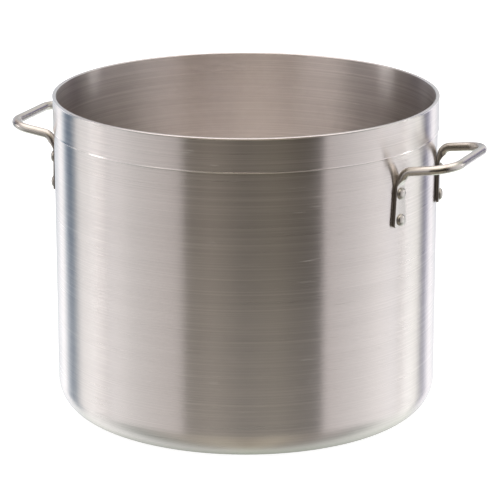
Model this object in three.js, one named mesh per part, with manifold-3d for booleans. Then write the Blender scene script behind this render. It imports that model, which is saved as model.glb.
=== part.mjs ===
// A lidless commercial stock pot: one spun aluminium shell with two bent-rod loop handles,
// each held by four round-headed rivets. Millimetres, +Z up.
// The origin is the centre of the base's underside. The handles lie along +X and -X, and both are
// set a little towards -Y, as they were riveted on.

import * as THREE from "three";
import { mergeVertices } from "three/addons/utils/BufferGeometryUtils.js";
import Module from "manifold-3d";

// Shell
const wallRadius = 227.6; // outside of the wall, below the turned line
const potHeight = 382;
const wallThickness = 3;
const baseThickness = 5;
const cornerRadius = 36; // outside, where the base turns up into the wall
const lineHeight = 342; // the turned line where the thicker top band begins
const bandRadius = 228.6; // outside of the top band
const ridgeRadius = 229; // the fine ridge along the band's lower edge
const ridgeHeight = 1.6;
const ridgePeak = 1; // how far up the ridge it is proudest
const rimRadius = 229; // outside of the rim's top edge
const rimRound = 0.9; // rounding of the rim's two edges
const shellSides = 72;
const cornerSteps = 6;
const rimSteps = 2;

// Handles
const rodRadius = 5.3;
const armSpacing = 123.4; // between the two arms of one handle
const armReach = 56.2; // from the wall's radius to the middle of the grip
const armRise = 0.137; // radians, upwards and away from the wall
const armHeight = 324.3; // where an arm's middle line meets its lug
const lugBendRadius = 11.8;
const gripBendRadius = 28.4;
const handleTurn = 0.0215; // radians, from the X axis towards -Y
const rodSides = 14;
const rodSteps = 72;

// Lugs, the flattened ends of the rod
const lugBottom = 259.3;
const lugThickness = 4;
const lugTopWidth = 13;
const lugBottomWidth = 23;
const lugCornerRadius = 4;
const lugSquareness = 0.4; // 1 is an ellipse, less is squarer
const swageTop = 317; // above this the rod is round
const swageBottom = 306; // below this it is flat

// Rivets
const rivetHeights = { upper: 298.5, lower: 267.5 };
const shankRadius = 3;
const headRadius = 7;
const headHeight = 3.8;
const innerHeadRadius = 6.5;
const innerHeadHeight = 2.4;
const rivetSides = 16;
const domeSteps = 4;
const cutterLength = 30; // of the tool that bores through lug and wall

const gap = 0.3; // between pieces that touch on the real pot

const lugAngle = Math.asin(armSpacing / 2 / wallRadius); // from the handle's middle, seen from above
const lugFace = wallRadius + gap + lugThickness; // from the pot's axis to a lug's outer face
const rightTurn = -handleTurn;
const leftTurn = Math.PI + handleTurn;

const wasm = await Module();
wasm.setup();

// A closed three.js geometry as a manifold-3d solid.
function solidFrom(geometry) {
  const bare = geometry.index ? geometry.toNonIndexed() : geometry.clone();
  bare.deleteAttribute("normal");
  bare.deleteAttribute("uv");
  const merged = mergeVertices(bare, 1e-4);
  return new wasm.Manifold(
    new wasm.Mesh({
      numProp: 3,
      vertProperties: merged.attributes.position.array,
      triVerts: new Uint32Array(merged.index.array),
    }),
  );
}

// A manifold-3d solid back as a three.js geometry.
function geometryFrom(solid) {
  const mesh = solid.getMesh();
  const geometry = new THREE.BufferGeometry();
  geometry.setAttribute("position", new THREE.BufferAttribute(mesh.vertProperties, 3));
  geometry.setIndex(new THREE.BufferAttribute(mesh.triVerts, 1));
  geometry.computeVertexNormals();
  return geometry;
}

function spunAluminium() {
  return new THREE.MeshStandardMaterial({ color: 0xc3beb8, roughness: 0.32, metalness: 1 });
}

function rodAluminium() {
  return new THREE.MeshStandardMaterial({ color: 0xa39c90, roughness: 0.38, metalness: 1 });
}

function rivetAluminium() {
  return new THREE.MeshStandardMaterial({ color: 0xaba69c, roughness: 0.35, metalness: 1 });
}

// Points on a circular arc, from one angle to another, both ends included.
function arc(centreX, centreY, radius, startAngle, endAngle, steps) {
  const points = [];
  for (let i = 0; i <= steps; i += 1) {
    const angle = startAngle + ((endAngle - startAngle) * i) / steps;
    points.push(new THREE.Vector2(centreX + radius * Math.cos(angle), centreY + radius * Math.sin(angle)));
  }
  return points;
}

// The shell's section, up the outside, over the rim and down the inside.
function shellProfile() {
  const quarter = Math.PI / 2;
  const innerRadius = wallRadius - wallThickness;
  const innerCorner = cornerRadius - wallThickness;
  return [
    new THREE.Vector2(0, 0),
    ...arc(wallRadius - cornerRadius, cornerRadius, cornerRadius, -quarter, 0, cornerSteps),
    new THREE.Vector2(wallRadius, lineHeight),
    new THREE.Vector2(ridgeRadius, lineHeight + ridgePeak),
    new THREE.Vector2(bandRadius, lineHeight + ridgeHeight),
    ...arc(rimRadius - rimRound, potHeight - rimRound, rimRound, 0, quarter, rimSteps),
    ...arc(innerRadius + rimRound, potHeight - rimRound, rimRound, quarter, 2 * quarter, rimSteps),
    ...arc(innerRadius - innerCorner, baseThickness + innerCorner, innerCorner, 0, -quarter, cornerSteps),
    new THREE.Vector2(0, baseThickness),
  ];
}

// Turns a piece made along +Y so that it points straight out from the pot's axis at one rivet's place.
function placeOnWall(geometry, side, height) {
  geometry.rotateZ(side * lugAngle - Math.PI / 2);
  geometry.translate(0, 0, height);
  return geometry;
}

// A cutter for one rivet hole, long enough to pass through the lug and the wall.
function holeCutter(side, height) {
  const cutter = new THREE.CylinderGeometry(shankRadius + gap, shankRadius + gap, cutterLength, rivetSides);
  cutter.translate(0, wallRadius, 0);
  return solidFrom(placeOnWall(cutter, side, height));
}

// Cuts the four rivet holes of one handle, which is turned from +X by the given angle.
function cutRivetHoles(solid, turn) {
  let cut = solid;
  for (const side of [-1, 1]) {
    for (const height of Object.values(rivetHeights)) {
      cut = cut.subtract(holeCutter(side, height).rotate([0, 0, THREE.MathUtils.radToDeg(turn)]));
    }
  }
  return cut;
}

function shellGeometry() {
  const spun = new THREE.LatheGeometry(shellProfile(), shellSides);
  spun.rotateX(Math.PI / 2);
  const bored = cutRivetHoles(solidFrom(spun), rightTurn);
  return geometryFrom(cutRivetHoles(bored, leftTurn));
}

// A round bend from start to end, which are equally far from the corner.
function bendCurve(start, corner, end) {
  const turning = Math.PI - start.clone().sub(corner).angleTo(end.clone().sub(corner));
  const pull = ((4 / 3) * Math.tan(turning / 4)) / Math.tan(turning / 2);
  const startPull = start.clone().lerp(corner, pull);
  const endPull = end.clone().lerp(corner, pull);
  return new THREE.CubicBezierCurve3(start, startPull, endPull, end);
}

// A path of straight lines whose inner corners are rounded by the given radii.
function roundedPath(points, radii) {
  const path = new THREE.CurvePath();
  let start = points[0];
  for (let i = 1; i < points.length - 1; i += 1) {
    const corner = points[i];
    const back = points[i - 1].clone().sub(corner).normalize();
    const onward = points[i + 1].clone().sub(corner).normalize();
    const trim = radii[i - 1] / Math.tan(back.angleTo(onward) / 2);
    const bendStart = corner.clone().addScaledVector(back, trim);
    const bendEnd = corner.clone().addScaledVector(onward, trim);
    path.add(new THREE.LineCurve3(start, bendStart));
    path.add(bendCurve(bendStart, corner, bendEnd));
    start = bendEnd;
  }
  path.add(new THREE.LineCurve3(start, points[points.length - 1]));
  return path;
}

// The round rod: up from one lug, out along the arm, across the grip and back to the other lug.
function rodGeometry() {
  const halfSpacing = armSpacing / 2;
  const lugX = (wallRadius + gap + rodRadius) * Math.cos(lugAngle);
  const lugY = (wallRadius + gap + rodRadius) * Math.sin(lugAngle);
  const gripX = wallRadius + armReach;
  const gripZ = armHeight + Math.tan(armRise) * (gripX - lugX);
  const corners = [
    new THREE.Vector3(lugX, -lugY, lugBottom),
    new THREE.Vector3(lugX, -lugY, armHeight),
    new THREE.Vector3(gripX, -halfSpacing, gripZ),
    new THREE.Vector3(gripX, halfSpacing, gripZ),
    new THREE.Vector3(lugX, lugY, armHeight),
    new THREE.Vector3(lugX, lugY, lugBottom),
  ];
  const bends = [lugBendRadius, gripBendRadius, gripBendRadius, lugBendRadius];
  const section = new THREE.Shape(arc(0, 0, rodRadius, 0, 2 * Math.PI, rodSides).slice(0, rodSides));
  return new THREE.ExtrudeGeometry(section, { steps: rodSteps, extrudePath: roundedPath(corners, bends) });
}

// How flat the rod is at a height: 0 is round, 1 is flat.
function flatness(height) {
  return 1 - THREE.MathUtils.smoothstep(height, swageBottom, swageTop);
}

// Half the rod's width at a height, widening down the lug and rounded off at its bottom corners.
function lugHalfWidth(height) {
  const flatWidth = THREE.MathUtils.mapLinear(height, lugBottom, swageTop, lugBottomWidth, lugTopWidth);
  const width = THREE.MathUtils.lerp(rodRadius * 2, flatWidth, flatness(height));
  const intoCorner = THREE.MathUtils.clamp(lugBottom + lugCornerRadius - height, 0, lugCornerRadius);
  return width / 2 - lugCornerRadius + Math.sqrt(lugCornerRadius ** 2 - intoCorner ** 2);
}

// Squashes the rod's two ends against the wall: each point is moved within the frame of its own lug,
// where x points straight out from the pot's axis and y runs along the wall.
function flattenLugs(rod) {
  const places = rod.attributes.position;
  const up = new THREE.Vector3(0, 0, 1);
  const point = new THREE.Vector3();
  const back = wallRadius + gap;
  for (let i = 0; i < places.count; i += 1) {
    point.fromBufferAttribute(places, i);
    const flat = flatness(point.z);
    const turn = Math.sign(point.y) * lugAngle;
    const power = THREE.MathUtils.lerp(1, lugSquareness, flat);
    const squared = (value) => (Math.abs(value) < 1 ? Math.sign(value) * Math.abs(value) ** power : value);
    if (flat > 0) {
      point.applyAxisAngle(up, -turn);
      const thickness = THREE.MathUtils.lerp(rodRadius * 2, lugThickness, flat);
      point.x = back + (thickness / 2) * (1 + squared((point.x - back) / rodRadius - 1));
      point.y = lugHalfWidth(point.z) * squared(point.y / rodRadius);
      point.applyAxisAngle(up, turn);
      places.setXYZ(i, point.x, point.y, point.z);
    }
  }
  return rod;
}

function handleGeometry() {
  return geometryFrom(cutRivetHoles(solidFrom(flattenLugs(rodGeometry())), 0));
}

// A rivet's section, from the top of the outer dome along the axis to the inner head.
function rivetProfile() {
  const outerSeat = lugFace + gap;
  const innerSeat = wallRadius - wallThickness - 2 * gap;
  const outerDome = arc(0, 0, 1, Math.PI / 2, 0, domeSteps);
  const innerDome = arc(0, 0, 1, 0, -Math.PI / 2, domeSteps);
  const points = [
    ...outerDome.map((p) => new THREE.Vector2(p.x * headRadius, outerSeat + p.y * headHeight)),
    new THREE.Vector2(shankRadius, outerSeat),
    new THREE.Vector2(shankRadius, innerSeat),
    ...innerDome.map((p) => new THREE.Vector2(p.x * innerHeadRadius, innerSeat + p.y * innerHeadHeight)),
  ];
  points[0].x = 0;
  points[points.length - 1].x = 0;
  return points.reverse();
}

function rivetGeometry(side, height) {
  return placeOnWall(new THREE.LatheGeometry(rivetProfile(), rivetSides), side, height);
}

function addMesh(group, name, geometry, material) {
  const mesh = new THREE.Mesh(geometry, material);
  mesh.name = name;
  group.add(mesh);
}

// One handle with its four rivets, built at +X. sides gives the lugs' names: -1 is at -Y and 1 at +Y.
function handleGroup(name, sides) {
  const group = new THREE.Group();
  addMesh(group, `handle_${name}`, handleGeometry(), rodAluminium());
  for (const [sideName, side] of Object.entries(sides)) {
    for (const [heightName, height] of Object.entries(rivetHeights)) {
      const rivetName = `rivet_${name}_${sideName}_${heightName}`;
      addMesh(group, rivetName, rivetGeometry(side, height), rivetAluminium());
    }
  }
  return group;
}

const stockPot = new THREE.Group();
addMesh(stockPot, "pot_shell", shellGeometry(), spunAluminium());
const rightHandle = handleGroup("right", { front: -1, rear: 1 });
rightHandle.rotation.z = rightTurn;
stockPot.add(rightHandle);
const leftHandle = handleGroup("left", { front: 1, rear: -1 }); // it is turned half round
leftHandle.rotation.z = leftTurn;
stockPot.add(leftHandle);

export default stockPot;
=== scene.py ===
import math
import bpy
import numpy as np
from mathutils import Matrix, Vector


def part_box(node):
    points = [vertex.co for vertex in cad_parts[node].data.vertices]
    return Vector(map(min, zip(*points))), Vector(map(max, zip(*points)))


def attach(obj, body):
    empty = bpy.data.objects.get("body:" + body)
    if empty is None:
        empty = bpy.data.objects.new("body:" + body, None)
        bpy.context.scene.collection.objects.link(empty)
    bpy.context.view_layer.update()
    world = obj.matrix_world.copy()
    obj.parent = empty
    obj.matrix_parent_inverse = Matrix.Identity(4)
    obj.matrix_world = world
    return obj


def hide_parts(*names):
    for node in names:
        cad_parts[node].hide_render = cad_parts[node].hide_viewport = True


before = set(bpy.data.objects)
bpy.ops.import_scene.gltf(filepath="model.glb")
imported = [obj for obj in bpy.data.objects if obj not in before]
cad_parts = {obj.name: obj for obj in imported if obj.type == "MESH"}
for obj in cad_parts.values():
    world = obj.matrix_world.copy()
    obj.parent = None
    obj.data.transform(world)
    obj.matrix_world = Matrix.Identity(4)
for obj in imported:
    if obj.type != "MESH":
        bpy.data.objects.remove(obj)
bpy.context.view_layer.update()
print("frame loaded:", len(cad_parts), "nodes")

# Everything is in metres, with +Z up. The pot's axis is the Z axis and the handles lie along +X and -X.
shellLow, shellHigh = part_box("pot_shell")
rimRadius = shellHigh.x
potHeight = shellHigh.z


# Faces between neighbouring rings of a grid, plus a fan of triangles from each end ring to its pole.
# The rings run round the second index, and the last point of a ring joins the first.
def ringFaces(rings, sides):
    i = np.arange(rings - 1)[:, None] * sides
    j = np.arange(sides)[None, :]
    k = (j + 1) % sides
    quads = np.stack([i + j, i + k, i + sides + k, i + sides + j], axis=-1).reshape(-1, 4)
    first = np.arange(sides)
    second = (first + 1) % sides
    startPole = rings * sides
    endPole = startPole + 1
    lastRing = (rings - 1) * sides
    startFan = np.stack([second, first, np.full(sides, startPole)], axis=-1)
    endFan = np.stack([lastRing + first, lastRing + second, np.full(sides, endPole)], axis=-1)
    return quads, np.concatenate([startFan, endFan])


# Six times the signed volume is the sum of a . (b x c) over the triangles: negative means inside out.
def signedVolume(points, quads, triangles):
    corners = np.concatenate([quads[:, [0, 1, 2]], quads[:, [0, 2, 3]], triangles])
    a, b, c = points[corners[:, 0]], points[corners[:, 1]], points[corners[:, 2]]
    return np.einsum("ij,ij->i", a, np.cross(b, c)).sum() / 6


# A closed smooth mesh from a grid of points (rings, sides, 3), with a pole in the middle of each end ring.
# values holds one number a point for each named attribute, in the same grid.
def closedSurface(name, grid, values, material):
    rings, sides = grid.shape[:2]
    poles = np.stack([grid[0].mean(axis=0), grid[-1].mean(axis=0)])
    points = np.concatenate([grid.reshape(-1, 3), poles])
    quads, triangles = ringFaces(rings, sides)
    if signedVolume(points, quads, triangles) < 0:
        quads, triangles = quads[:, ::-1], triangles[:, ::-1]
    mesh = bpy.data.meshes.new(name)
    mesh.vertices.add(len(points))
    mesh.vertices.foreach_set("co", points.astype(np.float32).ravel())
    corners = np.concatenate([quads.ravel(), triangles.ravel()])
    sizes = np.concatenate([np.full(len(quads), 4), np.full(len(triangles), 3)])
    mesh.loops.add(len(corners))
    mesh.loops.foreach_set("vertex_index", corners.astype(np.int32))
    mesh.polygons.add(len(sizes))
    mesh.polygons.foreach_set("loop_start", (np.cumsum(sizes) - sizes).astype(np.int32))
    mesh.polygons.foreach_set("use_smooth", np.ones(len(sizes), dtype=bool))
    mesh.update(calc_edges=True)
    for key, amount in values.items():
        whole = np.broadcast_to(amount, (rings, sides))
        ends = [whole[0].mean(), whole[-1].mean()]
        attribute = mesh.attributes.new(key, "FLOAT", "POINT")
        attribute.data.foreach_set("value", np.concatenate([whole.ravel(), ends]).astype(np.float32))
    mesh.validate()
    mesh.materials.append(material)
    piece = bpy.data.objects.new(name, mesh)
    bpy.context.scene.collection.objects.link(piece)
    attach(piece, "root")
    return piece


# A socket that can be added, multiplied and so on: each operation makes one Math node.
class Signal:
    def __init__(self, graph, socket):
        self.graph = graph
        self.socket = socket

    def maths(self, operation, first, second):
        return self.graph.node("ShaderNodeMath", {"operation": operation}, {0: first, 1: second})

    def __add__(self, other):
        return self.maths("ADD", self, other)

    def __sub__(self, other):
        return self.maths("SUBTRACT", self, other)

    def __rsub__(self, other):
        return self.maths("SUBTRACT", other, self)

    def __mul__(self, other):
        return self.maths("MULTIPLY", self, other)

    def __truediv__(self, other):
        return self.maths("DIVIDE", self, other)

    __radd__ = __add__
    __rmul__ = __mul__


# One node tree, of a material or of the world.
class Graph:
    def __init__(self, tree):
        self.tree = tree
        self.tree.nodes.clear()

    # Makes a node, sets its settings, then its inputs, and gives one of its outputs.
    def node(self, kind, settings=None, inputs=None, output=0):
        made = self.tree.nodes.new(kind)
        for key, value in (settings or {}).items():
            if key == "stops":
                self.setStops(made.color_ramp, value)
            else:
                setattr(made, key, value)
        for key, value in (inputs or {}).items():
            if isinstance(value, Signal):
                self.tree.links.new(value.socket, made.inputs[key])
            else:
                made.inputs[key].default_value = value
        return Signal(self, made.outputs[output]) if len(made.outputs) else made

    def setStops(self, ramp, stops):
        while len(ramp.elements) > 1:
            ramp.elements.remove(ramp.elements[-1])
        ramp.elements[0].position = stops[0][0]
        ramp.elements[0].color = stops[0][1]
        for place, colour in stops[1:]:
            ramp.elements.new(place).color = colour

    # A value moved smoothly from 0 to 1 as the signal goes from low to high.
    def smooth(self, value, low, high):
        settings = {"interpolation_type": "SMOOTHSTEP"}
        inputs = {"Value": value, "From Min": low, "From Max": high}
        return self.node("ShaderNodeMapRange", settings, inputs)

    # One part of a vector: "X", "Y" or "Z".
    def part(self, vector, axis):
        return self.node("ShaderNodeSeparateXYZ", None, {0: vector}, axis)

    def combine(self, x, y, z):
        return self.node("ShaderNodeCombineXYZ", None, {"X": x, "Y": y, "Z": z})

    def noise(self, vector, scale, detail=2.0, rough=0.5):
        inputs = {"Vector": vector, "Scale": scale, "Detail": detail, "Roughness": rough}
        return self.node("ShaderNodeTexNoise", None, inputs)

    def attribute(self, name):
        return self.node("ShaderNodeAttribute", {"attribute_name": name}, None, "Fac")

    def mixColour(self, factor, first, second, blend="MIX"):
        settings = {"data_type": "RGBA", "blend_type": blend}
        return self.node("ShaderNodeMix", settings, {0: factor, 6: first, 7: second}, 2)

    def grey(self, value):
        return self.node("ShaderNodeCombineColor", None, {"Red": value, "Green": value, "Blue": value})

    # Greys along a ramp, from (place, grey) pairs. A place goes on the ramp at (place - start) / span.
    def greyRamp(self, value, pairs, start, span):
        stops = [((place - start) / span, (grey, grey, grey, 1.0)) for place, grey in pairs]
        return self.node("ShaderNodeValToRGB", {"stops": stops}, {"Fac": value})

    def bump(self, height, distance):
        return self.node("ShaderNodeBump", None, {"Height": height, "Distance": distance, "Strength": 1.0})


def newMaterial(name):
    material = bpy.data.materials.new(name)
    material.use_nodes = True
    return material, Graph(material.node_tree)


# Closes a material with one metal shader.
def finishMetal(graph, colour, roughness, normal):
    inputs = {"Base Color": colour, "Metallic": 1.0, "Roughness": roughness, "Normal": normal}
    shader = graph.node("ShaderNodeBsdfPrincipled", None, inputs)
    graph.node("ShaderNodeOutputMaterial", None, {"Surface": shader})


spunFinish = {
    "colour": (0.800, 0.762, 0.738, 1.0),
    "wornColour": (0.900, 0.880, 0.860, 1.0),
    "roughness": 0.205,
    "hazeRoughness": 0.30,  # the broader part of the reflection
    "haze": 0.45,
    "scatterRoughness": 0.42,  # light thrown sideways by the deepest rings
    "scatter": 0.27,
    "scatterRange": (0.45, 0.71),  # how deep a ring starts to scatter, and where it scatters most
    "anisotropy": 1.0,
    "grainTurn": 0.25,  # turns the long highlight square to the rings
    "hairlineDepth": 0.000060,
    "insideRoughness": 0.01,  # added on the inside, which is spun more coarsely
    "hairlines": (2600.0, 5.0, 1.0),  # rings to the metre, stretch round the pot, noise detail
    "toolMarks": (620.0, 3.0, 2.0),
    "broadBands": (70.0, 1.5, 2.0),
    "scratches": (1900.0, 26.0, 1.0),
    "scratchRange": (0.73, 0.81),
    "cloudScale": 7.0,
    "markShade": (0.12, 0.06),  # how much tool marks tint the metal, and how much more on the inside
    "bandShade": (0.10, 0.05),  # the same for broad bands, and how much less on the inside
    "cloudShade": 0.06,
    "markRough": 0.10,
    "hairlineRough": 0.06,
    "cloudRough": 0.05,
    "scratchRough": 0.05,
    "worn": 0.7,  # how far worn places take the worn colour
    "wornPolish": 0.08,  # how much smoother they are
}


# Spun metal: fine rings follow the spinning tool, so every pattern is stretched round the pot's axis
# and squeezed along the section. "along" is the distance along the section, in metres. The surface is
# clear * (1 - haze) + hazy * haze, and the deepest rings swap a share of that for a dull scatter.
def spunAluminium():
    material, graph = newMaterial("spunAluminium")
    place = graph.node("ShaderNodeTexCoord", None, None, "Object")
    x, y = graph.part(place, "X"), graph.part(place, "Y")
    along = graph.attribute("along")
    inside = graph.attribute("inside")
    worn = graph.attribute("worn")

    # Rings about 1 / density metres apart along the section, each lasting about 1 / stretch round the pot.
    def rings(density, stretch, detail):
        return graph.noise(graph.combine(x * stretch, y * stretch, along * density), 1.0, detail, 0.6)

    hairlines = rings(*spunFinish["hairlines"])
    toolMarks = rings(*spunFinish["toolMarks"])
    broadBands = rings(*spunFinish["broadBands"])
    clouds = graph.noise(place, spunFinish["cloudScale"], 3.0)
    scratches = graph.smooth(rings(*spunFinish["scratches"]), *spunFinish["scratchRange"])

    markShade, markShadeInside = spunFinish["markShade"]
    bandShade, bandShadeInside = spunFinish["bandShade"]
    marks = (toolMarks - 0.5) * (markShade + inside * markShadeInside)
    bands = (broadBands - 0.5) * (bandShade - inside * bandShadeInside)
    shade = marks + bands + (clouds - 0.5) * spunFinish["cloudShade"]
    tinted = graph.mixColour(1.0, spunFinish["colour"], graph.grey(shade + 1.0), "MULTIPLY")
    colour = graph.mixColour(worn * spunFinish["worn"], tinted, spunFinish["wornColour"])

    rough = (toolMarks - 0.5) * spunFinish["markRough"] + (hairlines - 0.5) * spunFinish["hairlineRough"]
    rough = rough + (clouds - 0.5) * spunFinish["cloudRough"]
    rough = rough + inside * spunFinish["insideRoughness"] + spunFinish["roughness"]
    rough = rough - worn * spunFinish["wornPolish"] + scratches * spunFinish["scratchRough"]

    height = hairlines * 0.5 + toolMarks * (0.75 + inside * 0.3) - scratches * 0.8
    normal = graph.bump(height, spunFinish["hairlineDepth"])
    inputs = {"Base Color": colour, "Metallic": 1.0, "Roughness": rough, "Normal": normal}
    inputs["Anisotropic"] = spunFinish["anisotropy"]
    inputs["Anisotropic Rotation"] = spunFinish["grainTurn"]
    clear = graph.node("ShaderNodeBsdfPrincipled", None, inputs)
    inputs["Roughness"] = rough + (spunFinish["hazeRoughness"] - spunFinish["roughness"])
    haze = graph.node("ShaderNodeBsdfPrincipled", None, inputs)
    both = graph.node("ShaderNodeMixShader", None, {0: spunFinish["haze"], 1: clear, 2: haze})
    inputs["Roughness"] = spunFinish["scatterRoughness"]
    inputs["Anisotropic"] = 0.0
    scatter = graph.node("ShaderNodeBsdfPrincipled", None, inputs)
    depth = graph.smooth(toolMarks * 0.6 + hairlines * 0.4, *spunFinish["scatterRange"])
    share = depth * spunFinish["scatter"]
    surface = graph.node("ShaderNodeMixShader", None, {0: share, 1: both, 2: scatter})
    graph.node("ShaderNodeOutputMaterial", None, {"Surface": surface})
    return material


rodFinish = {
    "colour": (0.570, 0.545, 0.505, 1.0),
    "duskColour": (0.330, 0.305, 0.275, 1.0),
    "wornColour": (0.850, 0.830, 0.800, 1.0),
    # the colour of the painted shade on the lugs' sides
    "grimeColour": (0.260, 0.235, 0.205, 1.0),
    "roughness": 0.24,
    "drawDepth": 0.000020,
    "streakStretch": (30.0, 3.0),  # how often streaks change, along the rod and round it
    "patchScale": 60.0,
    "grainScale": 900.0,
    "duskRange": (0.46, 0.66),
    "dusk": 0.55,
    "worn": 0.8,
    "grime": 0.8,
}


# Drawn rod: streaks run along it, with a dull cast in patches, brighter places where hands rub it,
# and painted shade along the lugs' sides.
def rodAluminium():
    material, graph = newMaterial("rodAluminium")
    place = graph.node("ShaderNodeTexCoord", None, None, "Object")
    along = graph.attribute("along")
    around = graph.attribute("around")
    worn = graph.attribute("worn")
    grime = graph.attribute("grime")
    lengthways, crossways = rodFinish["streakStretch"]
    streaks = graph.noise(graph.combine(along * lengthways, around * crossways, 0.0), 9.0, 3.0, 0.6)
    patches = graph.noise(place, rodFinish["patchScale"], 3.0, 0.6)
    grain = graph.noise(place, rodFinish["grainScale"], 2.0)
    dusk = graph.smooth(patches * 0.7 + streaks * 0.3, *rodFinish["duskRange"])
    tinted = graph.mixColour(dusk * rodFinish["dusk"], rodFinish["colour"], rodFinish["duskColour"])
    colour = graph.mixColour(worn * rodFinish["worn"], tinted, rodFinish["wornColour"])
    # painted shade: the lugs' sides are darkened towards the shade colour
    colour = graph.mixColour(grime * rodFinish["grime"], colour, rodFinish["grimeColour"])
    rough = (streaks - 0.5) * 0.12 + (grain - 0.5) * 0.10 + dusk * 0.07 + rodFinish["roughness"]
    rough = rough + grime * 0.14 - worn * 0.03
    normal = graph.bump(streaks * 0.6 + grain * 0.5, rodFinish["drawDepth"])
    finishMetal(graph, colour, rough, normal)
    return material


rivetFinish = {
    "colour": (0.500, 0.480, 0.440, 1.0),
    "wornColour": (0.820, 0.805, 0.770, 1.0),
    "roughness": 0.28,
    "dentScale": 420.0,
    "dentDepth": 0.00010,
    "grainScale": 1800.0,
    "worn": 0.7,
}


# Rivet heads: small soft dents from closing them, rubbed bright on the crown.
def rivetAluminium():
    material, graph = newMaterial("rivetAluminium")
    place = graph.node("ShaderNodeTexCoord", None, None, "Object")
    worn = graph.attribute("worn")
    dents = graph.noise(place, rivetFinish["dentScale"], 1.0)
    grain = graph.noise(place, rivetFinish["grainScale"], 2.0)
    shade = graph.grey((dents - 0.5) * 0.4 + (grain - 0.5) * 0.2 + 1.0)
    tinted = graph.mixColour(1.0, rivetFinish["colour"], shade, "MULTIPLY")
    colour = graph.mixColour(worn * rivetFinish["worn"], tinted, rivetFinish["wornColour"])
    rough = (grain - 0.5) * 0.16 + rivetFinish["roughness"] - worn * 0.06
    normal = graph.bump(dents + grain * 0.15, rivetFinish["dentDepth"])
    finishMetal(graph, colour, rough, normal)
    return material


spunMetal = spunAluminium()
rodMetal = rodAluminium()
rivetMetal = rivetAluminium()
print("materials made")


potShape = {
    "rimToBand": 0.0004,  # how much less the band's radius is than the rim's
    "bandStep": 0.0010,  # how proud the top band stands of the wall
    "lineBelowRim": 0.0400,
    "ridgeHeight": 0.0022,
    "ridgePeak": 0.0010,  # how far up the ridge it is proudest
    "ridgeEase": 0.00015,  # where the peak's rounding starts, to each side
    "wallThickness": 0.0030,
    "baseThickness": 0.0050,
    "cornerRadius": 0.0360,
    "rimRound": 0.0005,
    "poleRadius": 0.0020,  # of the small flat disc in the middle of the base
    "rimWear": 0.0016,  # how far the bright wear reaches from the rim
    "ridgeWear": 0.0007,
    "footWear": 0.0040,
    "sides": 288,
}
bandRadius = rimRadius - potShape["rimToBand"]
wallRadius = bandRadius - potShape["bandStep"]
lineHeight = potHeight - potShape["lineBelowRim"]


# Points on an arc: centre plus the radius turned from one angle to another, in (radius, height) pairs.
def arcPoints(centre, radius, start, end, count):
    angle = np.radians(np.linspace(start, end, count))
    return np.stack([centre[0] + radius * np.cos(angle), centre[1] + radius * np.sin(angle)], axis=-1)


# Points on a straight line, closer together towards its two ends: t = (1 - cos(pi u)) / 2.
def linePoints(start, end, count):
    t = (1 - np.cos(np.pi * np.linspace(0, 1, count)[:, None])) / 2
    return np.array(start) + (np.array(end) - np.array(start)) * t


# A corner eased by a short curve: (1-t)^2 p + 2 t (1-t) corner + t^2 q, where p and q lie a little
# way from the corner along its two sides.
def roundedPoints(corners, ease):
    before, corner, after = (np.array(point) for point in corners)
    p = corner + (before - corner) / np.linalg.norm(before - corner) * ease
    q = corner + (after - corner) / np.linalg.norm(after - corner) * ease
    t = np.linspace(0, 1, 6)[:, None]
    return (1 - t) ** 2 * p + 2 * t * (1 - t) * corner + t**2 * q


# An S-curve from one point to another: even steps in height, smoothstep in radius.
def stepPoints(start, end, count):
    t = np.linspace(0, 1, count)
    smooth = t * t * (3 - 2 * t)
    return np.stack([start[0] + (end[0] - start[0]) * smooth, start[1] + (end[1] - start[1]) * t], axis=-1)


# The shell's section from the middle of the underside, up the outside, over the rim, and down the inside.
def shellOutline():
    corner = potShape["cornerRadius"]
    innerRadius = wallRadius - potShape["wallThickness"]
    innerCorner = corner - potShape["wallThickness"]
    floor = potShape["baseThickness"]
    pole = potShape["poleRadius"]
    rimRound = potShape["rimRound"]
    bandTop = potHeight - 4 * rimRound
    ridgeTop = lineHeight + potShape["ridgeHeight"]
    ridgePeak = lineHeight + potShape["ridgePeak"]
    ridge = [(wallRadius, lineHeight), (rimRadius, ridgePeak), (bandRadius, ridgeTop)]
    outside = [
        linePoints((pole, 0), (wallRadius - corner, 0), 20),
        arcPoints((wallRadius - corner, corner), corner, -90, 0, 26)[1:],
        linePoints((wallRadius, corner), (wallRadius, lineHeight), 40)[1:],
        roundedPoints(ridge, potShape["ridgeEase"]),
        [(bandRadius, ridgeTop)],
        linePoints((bandRadius, ridgeTop), (bandRadius, bandTop), 14)[1:],
        stepPoints((bandRadius, bandTop), (rimRadius, potHeight - rimRound), 6)[1:],
        arcPoints((rimRadius - rimRound, potHeight - rimRound), rimRound, 0, 90, 8)[1:],
    ]
    inside = [
        linePoints((rimRadius - rimRound, potHeight), (innerRadius + rimRound, potHeight), 6)[1:],
        arcPoints((innerRadius + rimRound, potHeight - rimRound), rimRound, 90, 180, 8)[1:],
        linePoints((innerRadius, potHeight - rimRound), (innerRadius, floor + innerCorner), 48)[1:],
        arcPoints((innerRadius - innerCorner, floor + innerCorner), innerCorner, 0, -90, 26)[1:],
        linePoints((innerRadius - innerCorner, floor), (pole, floor), 24)[1:],
    ]
    return np.concatenate(outside), np.concatenate(inside)


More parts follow.
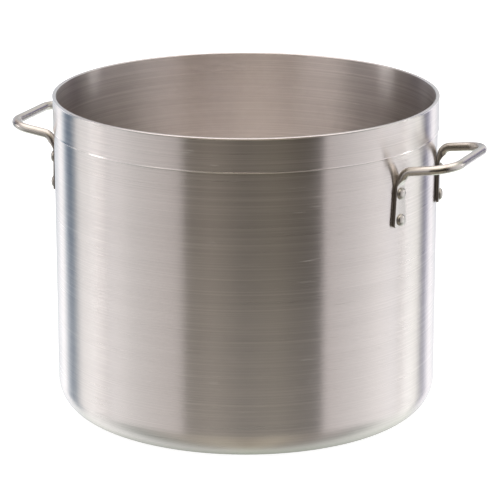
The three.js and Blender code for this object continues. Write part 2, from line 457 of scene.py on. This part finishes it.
# The shell is its outline carried round the Z axis: x = r cos a, y = r sin a, z = height.
# Wear falls off as exp(-(distance / reach)^2) from the rim and the ridge, and grows over the foot.
def makeShell():
    outside, inside = shellOutline()
    outline = np.concatenate([outside, inside])
    turn = np.linspace(0, 2 * np.pi, potShape["sides"], endpoint=False)
    radius, height = outline[:, :1], outline[:, 1:]
    flat = np.zeros_like(turn)
    grid = np.stack([radius * np.cos(turn), radius * np.sin(turn), height + flat], axis=-1)
    steps = np.linalg.norm(np.diff(outline, axis=0), axis=1)
    along = np.concatenate([[0], np.cumsum(steps)])[:, None]
    isInside = (np.arange(len(outline)) >= len(outside)).astype(float)[:, None]
    fromRim = np.hypot(radius - rimRadius, height - potHeight)
    fromRidge = np.hypot(radius - rimRadius, height - lineHeight - potShape["ridgePeak"])
    rimWear = np.exp(-((fromRim / potShape["rimWear"]) ** 2))
    ridgeWear = np.exp(-((fromRidge / potShape["ridgeWear"]) ** 2))
    footWear = np.clip(1 - height / potShape["footWear"], 0, 1) * np.clip(radius / wallRadius, 0, 1) ** 4
    worn = np.clip(0.8 * rimWear + 0.7 * ridgeWear + 0.5 * footWear, 0, 1)
    values = {"along": along, "inside": isInside, "worn": worn}
    shell = closedSurface("potShell", grid, values, spunMetal)
    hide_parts("pot_shell")
    return shell


shell = makeShell()
print("shell made:", len(shell.data.polygons), "faces")


# Each handle is one round rod, bent, with its two ends flattened into lugs.
handleShape = {
    "rodRadius": 0.0053,
    "armSpacing": 0.1234,
    "armReach": 0.0561,  # from the wall's radius to the middle of the grip
    "armHeight": 0.3243,
    "armRise": 0.137,  # radians
    "lugBend": 0.0118,
    "gripBend": 0.0284,
    "turn": 0.0215,  # radians, from the X axis towards -Y
    "lugThickness": 0.0040,
    "lugTopWidth": 0.0130,
    "lugBottomWidth": 0.0230,
    "lugCorner": 0.0035,
    "lugEdge": 0.0009,  # rounding of the lug's edges
    "flatLength": 0.0480,  # how far up from the bottom the lug is flat
    "swageLength": 0.0110,  # over which it turns from flat to round
    "offWall": 0.0001,
    "fullness": 1.6,  # how soon a flattened section reaches its corners
    "gripWear": 0.05,  # half length of the bright place on the grip
    "sides": 48,
    "stations": 250,
    "endLength": 0.0060,  # where the evenly spaced stations start
    "endStations": [0, 0.0001, 0.0003, 0.0006, 0.0009, 0.0013, 0.0018, 0.0024, 0.003, 0.0036, 0.0045],
}


# A path of straight lines with rounded corners. A corner of turning angle w and radius q starts q tan(w/2)
# before the corner, and runs p + q (sin v * d1 + (1 - cos v) * m), with m square to the first line.
def roundedPath(corners, bends):
    pieces = [corners[:1]]
    for i, bend in enumerate(bends):
        before, corner, after = corners[i], corners[i + 1], corners[i + 2]
        d1 = (corner - before) / np.linalg.norm(corner - before)
        d2 = (after - corner) / np.linalg.norm(after - corner)
        turning = math.acos(float(d1 @ d2))
        square = (d2 - d1 * (d1 @ d2)) / math.sin(turning)
        start = corner - d1 * bend * math.tan(turning / 2)
        v = np.linspace(0, turning, 60)[:, None]
        pieces.append(start + bend * (np.sin(v) * d1 + (1 - np.cos(v)) * square))
    pieces.append(corners[-1:])
    return np.concatenate(pieces)


# The rod's middle line at each station, with its direction there: (point ahead - point behind) / length.
# Stations are even along the rod and close together at its two cut ends.
def rodStations():
    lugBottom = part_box("handle_right")[0].z
    rod = handleShape["rodRadius"]
    lugTurn = math.asin(handleShape["armSpacing"] / 2 / wallRadius)
    lugReach = wallRadius + handleShape["offWall"] + rod
    lugX, lugY = lugReach * math.cos(lugTurn), lugReach * math.sin(lugTurn)
    gripX = wallRadius + handleShape["armReach"]
    gripY = handleShape["armSpacing"] / 2
    gripZ = handleShape["armHeight"] + math.tan(handleShape["armRise"]) * (gripX - lugX)
    half = [(lugX, lugY, lugBottom), (lugX, lugY, handleShape["armHeight"]), (gripX, gripY, gripZ)]
    mirrored = [(px, -py, pz) for px, py, pz in half]
    corners = np.array(mirrored + half[::-1])
    lugBend, gripBend = handleShape["lugBend"], handleShape["gripBend"]
    path = roundedPath(corners, [lugBend, gripBend, gripBend, lugBend])
    reach = np.concatenate([[0], np.cumsum(np.linalg.norm(np.diff(path, axis=0), axis=1))])
    length = reach[-1]
    endLength = handleShape["endLength"]
    ends = np.array(handleShape["endStations"])
    middle = np.linspace(endLength, length - endLength, handleShape["stations"])
    distance = np.concatenate([ends, middle, (length - ends)[::-1]])

    # The path's points at some distances along it.
    def pathAt(along):
        return np.stack([np.interp(along, reach, path[:, k]) for k in range(3)], axis=-1)

    halfStep = 0.0005
    heading = pathAt(distance + halfStep) - pathAt(distance - halfStep)
    direction = heading / np.linalg.norm(heading, axis=1, keepdims=True)
    return distance, length, pathAt(distance), direction, lugTurn


# Size of the section at each station: half thickness, half width and edge rounding.
# Round rod has all three equal to the rod's radius; the lug is thin, wide and nearly square-edged.
def sectionSizes(distance, length):
    rod = handleShape["rodRadius"]
    fromEnd = np.minimum(distance, length - distance)
    t = np.clip((fromEnd - handleShape["flatLength"]) / handleShape["swageLength"], 0, 1)
    roundness = t * t * (3 - 2 * t)
    flatSpan = handleShape["flatLength"] + handleShape["swageLength"]
    widening = handleShape["lugTopWidth"] - handleShape["lugBottomWidth"]
    flatWidth = handleShape["lugBottomWidth"] + widening * np.clip(fromEnd / flatSpan, 0, 1)
    edge = handleShape["lugEdge"]
    corner = handleShape["lugCorner"]
    intoCorner = np.clip(corner - fromEnd, 0, corner)
    intoEdge = np.clip(edge - fromEnd, 0, edge)
    cutWidth = corner - np.sqrt(corner**2 - intoCorner**2)
    cutThickness = edge - np.sqrt(edge**2 - intoEdge**2)
    halfThick = handleShape["lugThickness"] / 2 * (1 - roundness) + rod * roundness
    halfWide = flatWidth / 2 * (1 - roundness) + rod * roundness - cutWidth
    rounding = np.minimum(edge * (1 - roundness) + rod * roundness, halfThick)
    return halfThick, halfWide, rounding, cutThickness


# The rod as a surface: at each station the section lies in the plane square to the path. Its first axis
# leans away from the wall in the lug and downwards in the arm. A section point is a rectangle's corner
# or side point plus a small circle's: (h - c) clip(f cos a) + c cos a with fullness f, and likewise across.
def makeHandle(name, node, turn):
    distance, length, centre, direction, lugTurn = rodStations()
    halfThick, halfWide, rounding, cutThickness = sectionSizes(distance, length)
    side = np.clip(centre[:, 1] / (handleShape["armSpacing"] / 2), -1, 1) * lugTurn
    lean = np.stack([np.cos(side), np.sin(side), -np.ones_like(side)], axis=-1)
    first = lean - direction * np.einsum("ij,ij->i", lean, direction)[:, None]
    first /= np.linalg.norm(first, axis=1, keepdims=True)
    second = np.cross(direction, first)
    angle = np.linspace(0, 2 * np.pi, handleShape["sides"], endpoint=False)
    cosine, sine = np.cos(angle), np.sin(angle)
    c = rounding[:, None]
    fullness = handleShape["fullness"]
    thick = (halfThick[:, None] - c) * np.clip(fullness * cosine, -1, 1) + c * cosine
    wide = (halfWide[:, None] - c) * np.clip(fullness * sine, -1, 1) + c * sine
    thick = thick * (1 - cutThickness / halfThick)[:, None]
    inset = (halfThick - handleShape["rodRadius"])[:, None]
    outwards = (thick + inset)[:, :, None] * first[:, None, :]
    sideways = wide[:, :, None] * second[:, None, :]
    turned = np.array(Matrix.Rotation(turn, 3, "Z"))
    grid = (centre[:, None, :] + outwards + sideways) @ turned.T
    grip = np.exp(-(((distance - length / 2) / handleShape["gripWear"]) ** 2))[:, None]
    lugThinning = 0.6  # how much thinner the lug is than the rod, so flat is about 1 there and 0 on the rod
    flat = (1 - (halfThick / handleShape["rodRadius"]))[:, None] / lugThinning
    faceStart, faceBlend = 0.65, 0.15  # the cosine where a face starts, and over how much it blends in
    lugEdge = flat * np.abs(np.sin(2 * angle)) ** 6
    lugFace = flat * np.clip((np.abs(cosine) - faceStart) / faceBlend, 0, 1)
    lugSide = flat * np.clip((np.abs(sine) - faceStart) / faceBlend, 0, 1)
    values = {
        "along": distance[:, None],
        "around": np.abs(angle - np.pi)[None, :],
        "worn": np.clip(0.45 * grip + 0.7 * lugEdge + 0.9 * lugFace, 0, 1),
        # painted shade along the lugs' sides, a little less at their edges
        "grime": np.clip(lugSide - 0.3 * lugEdge, 0, 1),
    }
    handle = closedSurface(name, grid, values, rodMetal)
    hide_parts(node)
    return handle


makeHandle("handleRight", "handle_right", -handleShape["turn"])
makeHandle("handleLeft", "handle_left", math.pi + handleShape["turn"])
print("handles made")


rivetShape = {
    "headRadius": 0.0070,
    "headHeight": 0.0038,
    "innerHeadRadius": 0.0065,
    "innerHeadHeight": 0.0024,
    "shankRadius": 0.0030,
    "brimRound": 0.0006,
    "insideGap": 0.0001,  # between the inner head and the wall
    "crownWear": 0.45,  # how far the bright crown reaches, as a share of the head's radius
    "crownSteps": 14,
    "sides": 40,
}


# A rivet's section from the crown of the outer head along its axis to the crown of the inner head,
# in (radius, distance out from the pot's axis) pairs. A dome is a quarter ellipse on a short upright brim.
def rivetOutline(outerSeat, innerSeat):
    brim = rivetShape["brimRound"]
    # The crown starts at 88 degrees, because 90 would put its whole first ring on the axis.
    a = np.radians(np.linspace(88, 0, rivetShape["crownSteps"]))
    outer = np.stack([
        rivetShape["headRadius"] * np.cos(a),
        outerSeat + brim + (rivetShape["headHeight"] - brim) * np.sin(a),
    ], axis=-1)
    inner = np.stack([
        rivetShape["innerHeadRadius"] * np.cos(a),
        innerSeat - brim / 2 - (rivetShape["innerHeadHeight"] - brim / 2) * np.sin(a),
    ], axis=-1)[::-1]
    shank = rivetShape["shankRadius"]
    rim = rivetShape["headRadius"]
    innerRim = rivetShape["innerHeadRadius"]
    seats = np.array([
        (rim, outerSeat + brim / 2), (rim - brim / 3, outerSeat), (rim - brim, outerSeat),
        (shank + brim, outerSeat), (shank, outerSeat - brim),
        (shank, innerSeat + brim), (shank + brim, innerSeat),
        (innerRim - brim, innerSeat), (innerRim - brim / 3, innerSeat),
    ])
    return np.concatenate([outer, seats, inner])


# A rivet is its outline carried round an axis that points straight out from the pot's axis:
# centre = out * distance, plus r cos a along the wall and r sin a upwards.
def makeRivet(name, node):
    low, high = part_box(node)
    middle = (low + high) / 2
    out = Vector((middle.x, middle.y, 0)).normalized()
    outerSeat = wallRadius + handleShape["offWall"] + handleShape["lugThickness"]
    innerSeat = wallRadius - potShape["wallThickness"] - rivetShape["insideGap"]
    outline = rivetOutline(outerSeat, innerSeat)
    angle = np.linspace(0, 2 * np.pi, rivetShape["sides"], endpoint=False)
    radius = outline[:, :1, None]
    distance = outline[:, 1:, None]
    across = np.array((-out.y, out.x, 0.0))
    up = np.array((0.0, 0.0, 1.0))
    grid = distance * np.array(out) + np.array((0.0, 0.0, middle.z))
    grid = grid + radius * (np.cos(angle)[None, :, None] * across + np.sin(angle)[None, :, None] * up)
    crownWear = np.exp(-((outline[:, :1] / (rivetShape["crownWear"] * rivetShape["headRadius"])) ** 2))
    rivet = closedSurface(name, grid, {"worn": crownWear}, rivetMetal)
    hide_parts(node)
    return rivet


rivetNodes = sorted(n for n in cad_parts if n.startswith("rivet_"))
for node in rivetNodes:
    words = node.split("_")
    makeRivet(words[0] + "".join(word.capitalize() for word in words[1:]), node)
print("rivets made:", len(rivetNodes))


cameraView = {
    "azimuth": 23.262,  # degrees from looking along +Y, towards looking along -X
    "distance": 3.150,  # level distance from the pot's axis
    "height": 1.101,
    "downwards": 16.16,  # degrees
    "sideways": 0.087,  # degrees, to the right
    "lens": 196.25,  # millimetres
    "sensor": 36.0,  # millimetres
}


# The camera stands at the given azimuth and looks across the pot's axis, tipped down:
# forward = (-sin h cos d, cos h cos d, -sin d), with heading h and downwards angle d.
def placeCamera():
    data = bpy.data.cameras.new("camera")
    data.lens = cameraView["lens"]
    data.sensor_width = cameraView["sensor"]
    camera = bpy.data.objects.new("camera", data)
    bpy.context.scene.collection.objects.link(camera)
    azimuth = math.radians(cameraView["azimuth"])
    heading = azimuth - math.radians(cameraView["sideways"])
    down = math.radians(cameraView["downwards"])
    away = cameraView["distance"]
    level = math.cos(down)
    forward = Vector((-math.sin(heading) * level, math.cos(heading) * level, -math.sin(down)))
    camera.location = (math.sin(azimuth) * away, -math.cos(azimuth) * away, cameraView["height"])
    camera.rotation_mode = "QUATERNION"
    camera.rotation_quaternion = forward.to_track_quat("-Z", "Y")
    bpy.context.scene.camera = camera


placeCamera()
print("camera placed")


studio = {
    "floorSize": 30.0,
    "floorGap": 0.0004,  # how far the floor lies below the pot
    "glowGap": 0.0002,  # how far the table's glow lies below the pot
    "floorColour": (0.42, 0.42, 0.42, 1.0),
    "floorGlow": 0.93,  # light of its own, which keeps the floor pale and even
    "lowToLevel": (-36, -24),  # degrees above the horizon, where one ring of light blends into the next
    "levelToHigh": (2, 8),
    "highToUpper": (20, 30),
    "upperToTop": (44, 56),
    "top": (2.13, 1.95, 1.89),
    "glintFoot": (-1, 0.5),  # heights where the two narrow strips start and end
    "glintHead": (7, 12),
    "glint": (4.4, 4.25, 4.25),
    "underGlint": (0.62, 0.60, 0.60),  # the dimmer place under them
    "brightest": 2.2,  # the ramps hold each colour as a share of this
}

# The light round the pot: degrees from the camera's side, positive to its right, and the colour there.
# At the pot's own level two big white panels leave a dark gap at the camera, and narrow bluish gaps
# stand between the panels and the white backdrop.
lightLevel = [
    (-180, (0.62, 0.67, 0.73)),
    (-154, (0.83, 0.87, 0.92)),
    (-149, (1.28, 1.28, 1.32)),
    (-142, (1.28, 1.25, 1.25)),
    (-136.5, (0.22, 0.36, 0.48)),
    (-133, (0.0, 0.02, 0.07)),
    (-129, (0.03, 0.10, 0.18)),
    (-123, (0.34, 0.38, 0.42)),
    (-118.5, (1.04, 1.02, 1.01)),
    (-100, (0.83, 0.83, 0.85)),
    (-79, (0.82, 0.79, 0.79)),
    (-56, (0.53, 0.50, 0.50)),
    (-38.3, (0.42, 0.39, 0.39)),
    (-37.1, (0.03, 0.025, 0.015)),
    (-22, (0.11, 0.09, 0.08)),
    (-1, (0.01, 0.01, 0.01)),
    (18, (0.055, 0.045, 0.035)),
    (32, (0.02, 0.015, 0.01)),
    (45.9, (0.0, 0.0, 0.0)),
    (47.2, (0.58, 0.54, 0.55)),
    (53, (0.56, 0.53, 0.53)),
    (86, (0.90, 0.87, 0.88)),
    (112, (0.92, 0.93, 0.97)),
    (125.5, (1.22, 1.22, 1.16)),
    (129.6, (0.40, 0.41, 0.44)),
    (132.5, (0.0, 0.0, 0.0)),
    (136.5, (0.06, 0.07, 0.23)),
    (143, (1.14, 1.13, 1.20)),
    (149, (1.34, 1.31, 1.34)),
    (154, (0.88, 0.90, 0.95)),
    (180, (0.62, 0.67, 0.73)),
]
lightLow = [
    (-180, (0.87, 0.97, 0.85)),
    (-128, (0.97, 0.98, 0.98)),
    (-98, (0.36, 0.39, 0.37)),
    (-83, (0.04, 0.07, 0.05)),
    (-45, (0.21, 0.17, 0.12)),
    (-22, (0.30, 0.26, 0.18)),
    (0, (0.17, 0.13, 0.07)),
    (22, (0.31, 0.26, 0.17)),
    (45, (0.09, 0.06, 0.03)),
    (67, (0.15, 0.12, 0.11)),
    (83, (0.02, 0.03, 0.02)),
    (98, (0.32, 0.36, 0.32)),
    (113, (0.78, 0.80, 0.78)),
    (180, (0.87, 0.98, 0.85)),
]
lightHigh = [
    (-180, (0.54, 0.56, 0.58)),
    (-156, (0.80, 0.84, 0.94)),
    (-138, (0.80, 0.82, 0.96)),
    (-128, (0.20, 0.18, 0.28)),
    (-113, (0.0, 0.0, 0.02)),
    (-109, (0.60, 0.56, 0.56)),
    (-103, (0.95, 0.88, 0.88)),
    (-94, (1.05, 0.96, 1.00)),
    (-86, (0.92, 0.83, 0.88)),
    (-71, (0.56, 0.56, 0.58)),
    (-54, (1.15, 1.08, 1.06)),
    (-41, (0.81, 0.75, 0.77)),
    (-29, (0.05, 0.04, 0.04)),
    (0, (0.16, 0.12, 0.12)),
    (15, (0.0, 0.0, 0.0)),
    (37, (0.02, 0.01, 0.01)),
    (50, (0.72, 0.65, 0.67)),
    (60, (0.74, 0.70, 0.76)),
    (86, (0.96, 0.87, 0.90)),
    (104, (1.05, 0.94, 1.02)),
    (110, (1.10, 1.04, 1.08)),
    (119, (0.75, 0.74, 0.75)),
    (124, (0.04, 0.04, 0.12)),
    (132, (0.07, 0.05, 0.20)),
    (148, (1.08, 1.04, 1.10)),
    (160, (0.90, 0.90, 0.94)),
    (180, (0.54, 0.56, 0.58)),
]
# Two narrow bright strips stand just over the horizon, with a dimmer place under each: 1 at their bearings.
glintPlaces = [
    (-180, 0.0),
    (-103.6, 0.0),
    (-101.6, 1.0),
    (-91.8, 1.0),
    (-89.8, 0.0),
    (102.4, 0.0),
    (104.4, 1.0),
    (110.6, 1.0),
    (112.6, 0.0),
    (180, 0.0),
]
lightUpper = [
    (-180, (0.90, 0.85, 0.85)),
    (-150, (0.60, 0.50, 0.48)),
    (-120, (0.26, 0.24, 0.22)),
    (-97, (0.83, 0.77, 0.77)),
    (-60, (1.25, 1.17, 1.12)),
    (-22, (0.72, 0.67, 0.50)),
    (7, (0.76, 0.71, 0.56)),
    (24, (0.12, 0.11, 0.04)),
    (38, (0.37, 0.32, 0.23)),
    (54, (1.12, 1.07, 0.97)),
    (82, (1.00, 1.04, 0.96)),
    (128, (0.62, 0.62, 0.55)),
    (180, (0.90, 0.85, 0.85)),
]

# What the pot's metal sees of the pale table: metres from the pot's axis, and the light there.
tableGlow = [
    (0.0, 0.0),
    (0.205, 0.02),
    (0.219, 0.14),
    (0.232, 0.20),
    (0.28, 0.24),
    (0.33, 0.15),
    (0.5, 0.20),
    (0.7, 0.13),
    (0.9, 0.11),
    (1.1, 0.0),
]
# painted shade: under the pot the sheet passes only part of the light from below
tableShade = [(0.0, 0.50), (0.207, 0.54), (0.224, 1.0)]  # the share of light from below that passes there
tableReach = 1.2


# The studio's light, by direction: four rings of colour, one above the other, and one colour overhead,
# each blended into the next by height. The bearing is atan2(right, front) / 2 pi + 1/2, which is 1/2
# towards the camera.
def makeWorld():
    world = bpy.data.worlds.new("studio")
    world.use_nodes = True
    bpy.context.scene.world = world
    graph = Graph(world.node_tree)
    direction = graph.node("ShaderNodeTexCoord", None, None, "Generated")
    x, y, z = (graph.part(direction, axis) for axis in "XYZ")
    turn = math.radians(cameraView["azimuth"])
    right = x * math.cos(turn) + y * math.sin(turn)
    front = x * math.sin(turn) - y * math.cos(turn)
    bearing = right.maths("ARCTAN2", right, front) / (2 * math.pi) + 0.5

    # A colour as a share of the brightest.
    def shareOf(colour):
        return (*(c / studio["brightest"] for c in colour), 1.0)

    # The light all round at one height, from a list of bearings and colours.
    def ring(light):
        stops = [((degrees + 180) / 360, shareOf(colour)) for degrees, colour in light]
        return graph.node("ShaderNodeValToRGB", {"stops": stops}, {"Fac": bearing})

    # From 0 to 1 between two heights, given in degrees above the horizon: z is the sine of the height.
    def above(heights):
        low, high = (math.sin(math.radians(degrees)) for degrees in heights)
        return graph.smooth(z, low, high)

    overLow = above(studio["lowToLevel"])
    colour = graph.mixColour(overLow, ring(lightLow), ring(lightLevel))
    colour = graph.mixColour(above(studio["levelToHigh"]), colour, ring(lightHigh))
    colour = graph.mixColour(above(studio["highToUpper"]), colour, ring(lightUpper))
    colour = graph.mixColour(above(studio["upperToTop"]), colour, shareOf(studio["top"]))

    glint = graph.greyRamp(bearing, glintPlaces, -180, 360)
    overFoot = above(studio["glintFoot"])
    underStrip = glint * overLow * (1.0 - overFoot)
    strip = glint * overFoot * (1.0 - above(studio["glintHead"]))
    colour = graph.mixColour(underStrip, colour, shareOf(studio["underGlint"]))
    colour = graph.mixColour(strip, colour, shareOf(studio["glint"]))
    inputs = {"Color": colour, "Strength": studio["brightest"]}
    background = graph.node("ShaderNodeBackground", None, inputs)
    graph.node("ShaderNodeOutputWorld", None, {"Surface": background})


# A flat square on the ground, at a given height.
def makeGround(name, size, height, material):
    half = size / 2
    corners = [(-half, -half, height), (half, -half, height), (half, half, height), (-half, half, height)]
    mesh = bpy.data.meshes.new(name)
    mesh.from_pydata(corners, [], [(0, 1, 2, 3)])
    ground = bpy.data.objects.new(name, mesh)
    bpy.context.scene.collection.objects.link(ground)
    mesh.materials.append(material)
    return ground


# The wide pale floor that the camera sees. Reflections see the table's glow instead.
def makeFloor():
    material, graph = newMaterial("paleFloor")
    inputs = {
        "Base Color": studio["floorColour"],
        "Roughness": 0.9,
        "Specular IOR Level": 0.1,
        "Emission Color": (1.0, 1.0, 1.0, 1.0),
        "Emission Strength": studio["floorGlow"],
    }
    shader = graph.node("ShaderNodeBsdfPrincipled", None, inputs)
    graph.node("ShaderNodeOutputMaterial", None, {"Surface": shader})
    floor = makeGround("floor", studio["floorSize"], shellLow.z - studio["floorGap"], material)
    floor.visible_glossy = False


# What reflections see of the table: a clear sheet just over the floor, darkened under the pot as painted
# shade, that gives off light by the distance from the pot's axis. Only glossy and transmitted rays meet it.
def makeTableGlow():
    material, graph = newMaterial("tableGlow")
    place = graph.node("ShaderNodeTexCoord", None, None, "Object")
    distance = graph.node("ShaderNodeVectorMath", {"operation": "LENGTH"}, {0: place}, "Value")
    glow = graph.greyRamp(distance / tableReach, tableGlow, 0.0, tableReach)
    shade = graph.greyRamp(distance / tableReach, tableShade, 0.0, tableReach)
    light = graph.node("ShaderNodeEmission", None, {"Color": glow, "Strength": 1.0})
    clear = graph.node("ShaderNodeBsdfTransparent", None, {"Color": shade})
    both = graph.node("ShaderNodeAddShader", None, {0: light, 1: clear})
    graph.node("ShaderNodeOutputMaterial", None, {"Surface": both})
    table = makeGround("tableGlow", 2 * tableReach, shellLow.z - studio["glowGap"], material)
    table.visible_camera = False
    table.visible_diffuse = False
    table.visible_shadow = False


makeWorld()
makeFloor()
makeTableGlow()
bpy.context.scene.view_settings.view_transform = "Standard"
print("studio ready")
